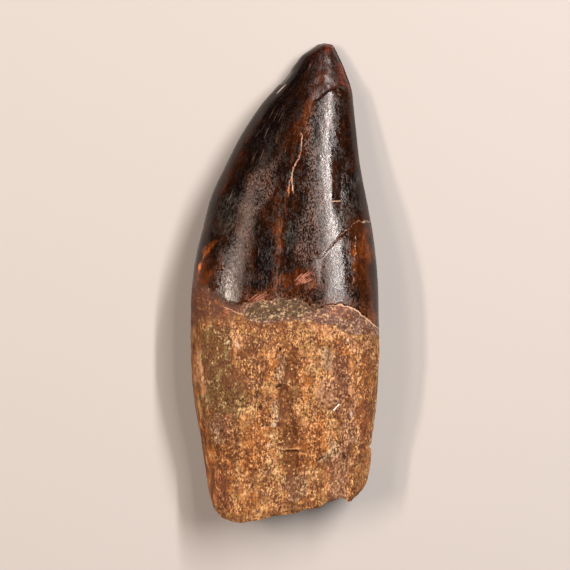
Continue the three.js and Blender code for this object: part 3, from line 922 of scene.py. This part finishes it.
def root_ground(p, hue, tint, shade):
    """The root's mottled colours, before they are lightened and darkened."""
    patches = p.noise(0.33, 4, 0.7, squeeze=(1, 0.6, 1), shift=1.0, distortion=0.4)
    second_hue = p.noise(1.0, 3, 0.75, shift=42.0)
    ground = p.paint(ROOT_ORANGE, ROOT_TAN, p.ease(patches, 0.4, 0.6))
    for colour, value, start, end, most in (
        (ROOT_PINK, hue, 0.52, 0.66, 0.8),
        (ROOT_ORANGE, hue, 0.46, 0.34, 0.7),
        (ROOT_MAUVE, second_hue, 0.54, 0.68, 0.7),
        (ROOT_OLIVE, second_hue, 0.46, 0.34, 0.6),
        (ROOT_PINK, tint, 0.55, 0.8, 0.4),
        (ROOT_OLIVE, shade, 0.65, 0.9, 0.35),
    ):
        ground = p.paint_where(ground, colour, value, start, end, most)
    for name, colour in ROOT_HUES.items():
        area = p.add(p.read(name), p.times(hue, 1.5))
        ground = p.paint_where(ground, colour, area, 0.85, 1.4, 0.85)
    return ground


def root_marks(p, colour, hue, sand):
    """Paints the holes, the pale specks, the round pit, the shelf and the scratch."""
    wobble = p.swing(sand, 5.0)
    on_top = p.on_top()
    for several, mark, share in ((HOLES, ROOT_PIT, 0.8), (SPECKS, ROOT_WHITE, 0.3)):
        dabs = p.most(*[p.dab(spot, wobble) for spot in several])
        colour = p.paint(colour, mark, dabs, on_top, share)
    colour = p.paint(colour, ROOT_PIT, p.dab(PIT, p.times(wobble, 0.2)), on_top)
    shelf = p.line("shelf", 0.12, p.swing(hue, 0.9))
    colour = p.paint(colour, ROOT_CREAM, shelf, 0.5)
    return p.paint(colour, ROOT_WHITE, p.line("scratch", 0.16, 0.0))


def root_finish(p):
    """Rough fossil bone: tans mottled at many sizes, with dark holes, pale flecks and fibrous edges."""
    flow = p.read("flow", "Vector")
    hue = p.noise(0.8, 4, 0.75, squeeze=(1, 0.75, 1), shift=15.0, distortion=0.4)
    broad = p.noise(0.7, 3, 0.7, squeeze=(1, 0.7, 1), shift=4.0)
    sand = p.noise(3.1, 3, 0.75, squeeze=(1, 0.6, 1), shift=7.0, distortion=0.4)
    bands = p.noise(0.45, 3, 0.65, flow, (1, 0.16, 1), 37.0, 0.5)
    fibres = p.noise(2.0, 4, 0.7, flow, (1, 0.12, 1), 2.0, 0.3)
    away, tint, shade = p.grains(2.3, (1, 0.8, 1), 3.0, 0.8)
    across = p.parts(flow)["X"]
    edge = p.ease(p.add(p.math("ABSOLUTE", across), p.times(hue, 2.0)), 13.0, 15.2)
    grains = p.mix(sand, fibres, p.times(edge, p.ease(across, 6.0, -6.0), 0.8))

    calm = p.mix(0.6, 1.7, p.ease(p.noise(0.4, 3, 0.6, shift=61.0), 0.38, 0.62))
    value = p.add(p.times(p.swing(grains, calm), 3.3), p.swing(broad, 1.5))
    value = p.add(value, p.swing(bands, 1.1), 0.28)
    for name, shift in ROOT_SHIFTS.items():
        value = p.add(value, p.times(p.read(name), shift))
    # Beside the groove's steep wall the root is painted darker: painted shadow.
    wall = p.parts(p.read("groove_wall", "Vector"))
    from_wall = p.add(wall["X"], p.swing(hue, 1.6))
    shadow = p.times(p.ease(from_wall, -0.1, 0.12), p.ease(from_wall, 2.0, 0.2), wall["Y"])
    value = p.add(value, p.times(shadow, -0.1))

    colour = root_ground(p, hue, tint, shade)
    colour = p.paint_where(colour, ROOT_BROWN, value, 0.6, 0.1, 0.95)
    colour = p.paint_where(colour, ROOT_DEEP, value, 0.2, -0.3, 0.9)
    colour = p.paint_where(colour, ROOT_CREAM, value, 0.5, 1.1, 0.9)
    # The groove, the pocket and the strip beside its wall are painted a darker amber-brown: painted shade.
    furrow_shade = p.most(p.times(p.read("groove"), 0.6), p.read("pocket"), shadow)
    colour = p.paint(colour, ROOT_AMBER, furrow_shade, p.mix(0.25, 0.85, p.ease(sand, 0.65, 0.4)))
    in_grain = p.times(p.ease(p.add(away, p.swing(sand, 1.5)), 0.42, 0.1), p.flip(edge))
    flecks = p.times(in_grain, p.ease(tint, 0.84, 0.9))
    gaps = p.times(in_grain, p.ease(shade, 0.86, 0.92))
    colour = p.paint(colour, ROOT_CREAM, flecks, 0.8)
    colour = p.paint(colour, ROOT_PIT, gaps, 0.85)
    colour = root_marks(p, colour, hue, sand)
    height = p.add(
        p.times(grains, p.mix(0.16, 0.08, edge)),
        p.times(broad, 0.14),
        p.times(flecks, 0.03),
        p.times(gaps, -0.08),
    )
    return colour, p.mix(0.6, 0.85, sand), height


def neck_finish(p):
    """Bare dentine between the enamel and the root's crust, with the brown film on its left and sediment."""
    flow = p.read("flow", "Vector")
    cloud = p.noise(0.6, 4, 0.7, shift=12.0)
    grain = p.noise(2.2, 2, 0.7, shift=19.0, distortion=0.5)
    broad = p.noise(0.7, 3, 0.7, shift=51.0)
    fibres = p.noise(1.6, 4, 0.7, flow, (1, 0.2, 1), 24.0, 0.5)
    hue = p.noise(1.1, 4, 0.75, shift=27.0)
    clod = p.noise(1.7, 3, 0.75, shift=71.0)
    film, sediment = p.read("film"), p.read("sediment")
    ground = p.paint(NECK_MAUVE, NECK_BROWN, p.most(p.ease(cloud, 0.5, 0.62), film))
    ground = p.paint(ground, NECK_RUST, p.read("rust"), p.ease(cloud, 0.35, 0.55))
    ground = p.paint(ground, SEDIMENT_GREY, p.ease(hue, 0.52, 0.66), p.flip(film), 0.7)
    ground = p.paint_where(ground, NECK_RUST, hue, 0.46, 0.34, 0.6)
    clods = p.paint_where(SEDIMENT_GREY, SEDIMENT_PALE, clod, 0.52, 0.66, 0.6)
    pale = p.add(p.read("clump"), p.times(grain, 1.2))
    clods = p.paint_where(clods, SEDIMENT_PALE, pale, 0.9, 1.3, 0.8)
    clods = p.paint(clods, SEDIMENT_DARK, p.ease(clod, 0.44, 0.34))
    clods = p.paint_where(clods, NECK_BROWN, hue, 0.53, 0.62, 0.35)
    ground = p.paint(ground, clods, sediment)

    value = p.add(p.times(p.mix(grain, fibres, p.times(film, 0.4)), 0.7), p.times(broad, 0.3))
    value = p.add(p.stretch(value, 7.4, -0.34), p.times(sediment, -0.12), p.times(film, -0.08))
    dark = p.paint(ROOT_DEEP, SEDIMENT_DARK, sediment, 0.6)
    colour = p.paint_where(ground, dark, value, 0.55, -0.1, 0.9)
    light = p.paint(ROOT_CREAM, SEDIMENT_PALE, sediment, 0.7)
    colour = p.paint_where(colour, light, value, 0.5, 1.2, p.mix(0.7, 0.62, film))
    pale_line = p.line("pale_line", 0.13, p.swing(cloud, 0.8))
    colour = p.paint(colour, ENAMEL_PALE, pale_line, 0.5)
    height = p.add(p.times(grain, 0.14), p.times(fibres, p.times(film, 0.08)))
    return colour, p.mix(0.55, 0.85, sediment), height


def fossil_material():
    """The tooth's one material: enamel, neck and root, joined along their ragged edges."""
    p = Pattern("fossil_tooth")
    film = p.read("film")
    ragged = p.swing(p.noise(2.2, 4, 0.75, shift=14.0), 1.2)
    from_edge = p.add(p.read("enamel"), p.times(ragged, p.mix(0.5, 2.5, film)))
    crown = p.ease(from_edge, p.mix(-0.05, -1.6, film), p.mix(0.06, 1.0, film))
    soft = p.add(0.15, p.times(film, 0.9))
    from_crust = p.add(p.read("crust"), p.times(ragged, p.mix(1.2, 3.4, film)))
    root = p.ease(from_crust, p.times(soft, -1.0), soft)
    enamel_colour, enamel_rough, enamel_height = enamel_finish(p)
    root_colour, root_rough, root_height = root_finish(p)
    neck_colour, neck_rough, neck_height = neck_finish(p)

    torn = p.add(p.times(ragged, 5.0), p.swing(p.noise(0.9, 3, 0.65, shift=81.0), 7.0))
    sediment = p.ease(p.times(p.read("sediment"), p.add(1.2, torn)), 0.25, 0.7)
    sediment = p.times(sediment, p.flip(root))
    bare = p.most(p.flip(crown), sediment)
    colour = p.paint(enamel_colour, p.paint(neck_colour, root_colour, root), bare)
    rim = p.ease(p.math("ABSOLUTE", p.add(p.read("enamel"), p.times(ragged, 0.3))), 0.17, 0.05)
    colour = p.paint(colour, ENAMEL_PALE, rim, p.mix(0.1, 0.9, p.read("edge_line")), p.flip(film))
    colour = p.paint(colour, p.paint(neck_colour, SEDIMENT_GREY, 0.5), p.read("filling"))
    rough = p.mix(enamel_rough, p.mix(neck_rough, root_rough, root), bare)
    height = p.mix(enamel_height, p.mix(neck_height, root_height, root), bare)
    p.finish(colour, rough, height)
    p.shader.inputs["IOR"].default_value = FOSSIL_IOR
    return p.material


def add_object(name, data):
    """A new object in the scene."""
    added = bpy.data.objects.new(name, data)
    bpy.context.scene.collection.objects.link(added)
    return added


# Tooth
mesh, point, values = tooth_mesh()
store_fields(mesh, point, values)
tooth = add_object("fossil_tooth", mesh)
mesh.shade_smooth()
mesh.set_sharp_from_angle(angle=math.radians(BREAK_EDGE_ANGLE))
mesh.materials.append(fossil_material())
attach(tooth, "root")
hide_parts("tooth")

# Floor
FLOOR_CORNERS = [(-2, -2, 0), (2, -2, 0), (2, 2, 0), (-2, 2, 0)]
floor_mesh = bpy.data.meshes.new("floor")
floor_mesh.from_pydata(FLOOR_CORNERS, [], [(0, 1, 2, 3)])
floor = add_object("floor", floor_mesh)
pale = bpy.data.materials.new("pale_floor")
pale.use_nodes = True
pale_inputs = pale.node_tree.nodes["Principled BSDF"].inputs
pale_inputs["Base Color"].default_value = (0.37, 0.365, 0.356, 1)
pale_inputs["Roughness"].default_value = 0.9
floor_mesh.materials.append(pale)

# Lamps: long strips that face the tooth, as (place, width, length, colour, radiance)
LAMPS = {
    "right_core": ((0.336, 0.26, 0.489), 0.032, 0.56, (1, 0.91, 0.87), 106),
    "right_wide": ((0.25, 0.18, 0.53), 0.13, 0.44, (1, 0.85, 0.76), 6),
    "right_low": ((0.2, 0.14, 0.545), 0.04, 0.26, (1, 0.88, 0.8), 12),
    "right_fill": ((0.306, 0.3, 0.508), 0.06, 0.5, (1, 0.86, 0.78), 7),
    "left_core": ((-0.4, 0.06, 0.46), 0.036, 0.24, (1, 0.8, 0.68), 96),
    "left_side": ((-0.318, 0.14, 0.51), 0.05, 0.44, (1, 0.8, 0.68), 8),
    "left_wide": ((-0.3, 0.18, 0.52), 0.12, 0.5, (1, 0.74, 0.6), 3),
}
for name, (place, width, length, colour, radiance) in LAMPS.items():
    light = bpy.data.lights.new(name, "AREA")
    light.color = colour
    light.shape = "RECTANGLE"
    light.size = width
    light.size_y = length
    light.energy = radiance * math.pi * width * length
    lamp = add_object(name, light)
    lamp.location = place
    backwards = Vector(place).normalized()
    sideways = Vector((0, 1, 0)).cross(backwards).normalized()
    along = backwards.cross(sideways)
    lamp.rotation_mode = "QUATERNION"
    lamp.rotation_quaternion = Matrix((sideways, along, backwards)).transposed().to_quaternion()

world = bpy.data.worlds.new("studio")
world.use_nodes = True
world_inputs = world.node_tree.nodes["Background"].inputs
world_inputs["Color"].default_value = (1, 1, 1, 1)
world_inputs["Strength"].default_value = 0.05
bpy.context.scene.world = world

# Camera, straight above
camera_data = bpy.data.cameras.new("camera")
camera_data.lens = 120
camera_data.sensor_width = 36
camera = add_object("camera", camera_data)
camera.location = [c * MM for c in EYE]
bpy.context.scene.camera = camera
bpy.context.scene.view_settings.view_transform = "Standard"
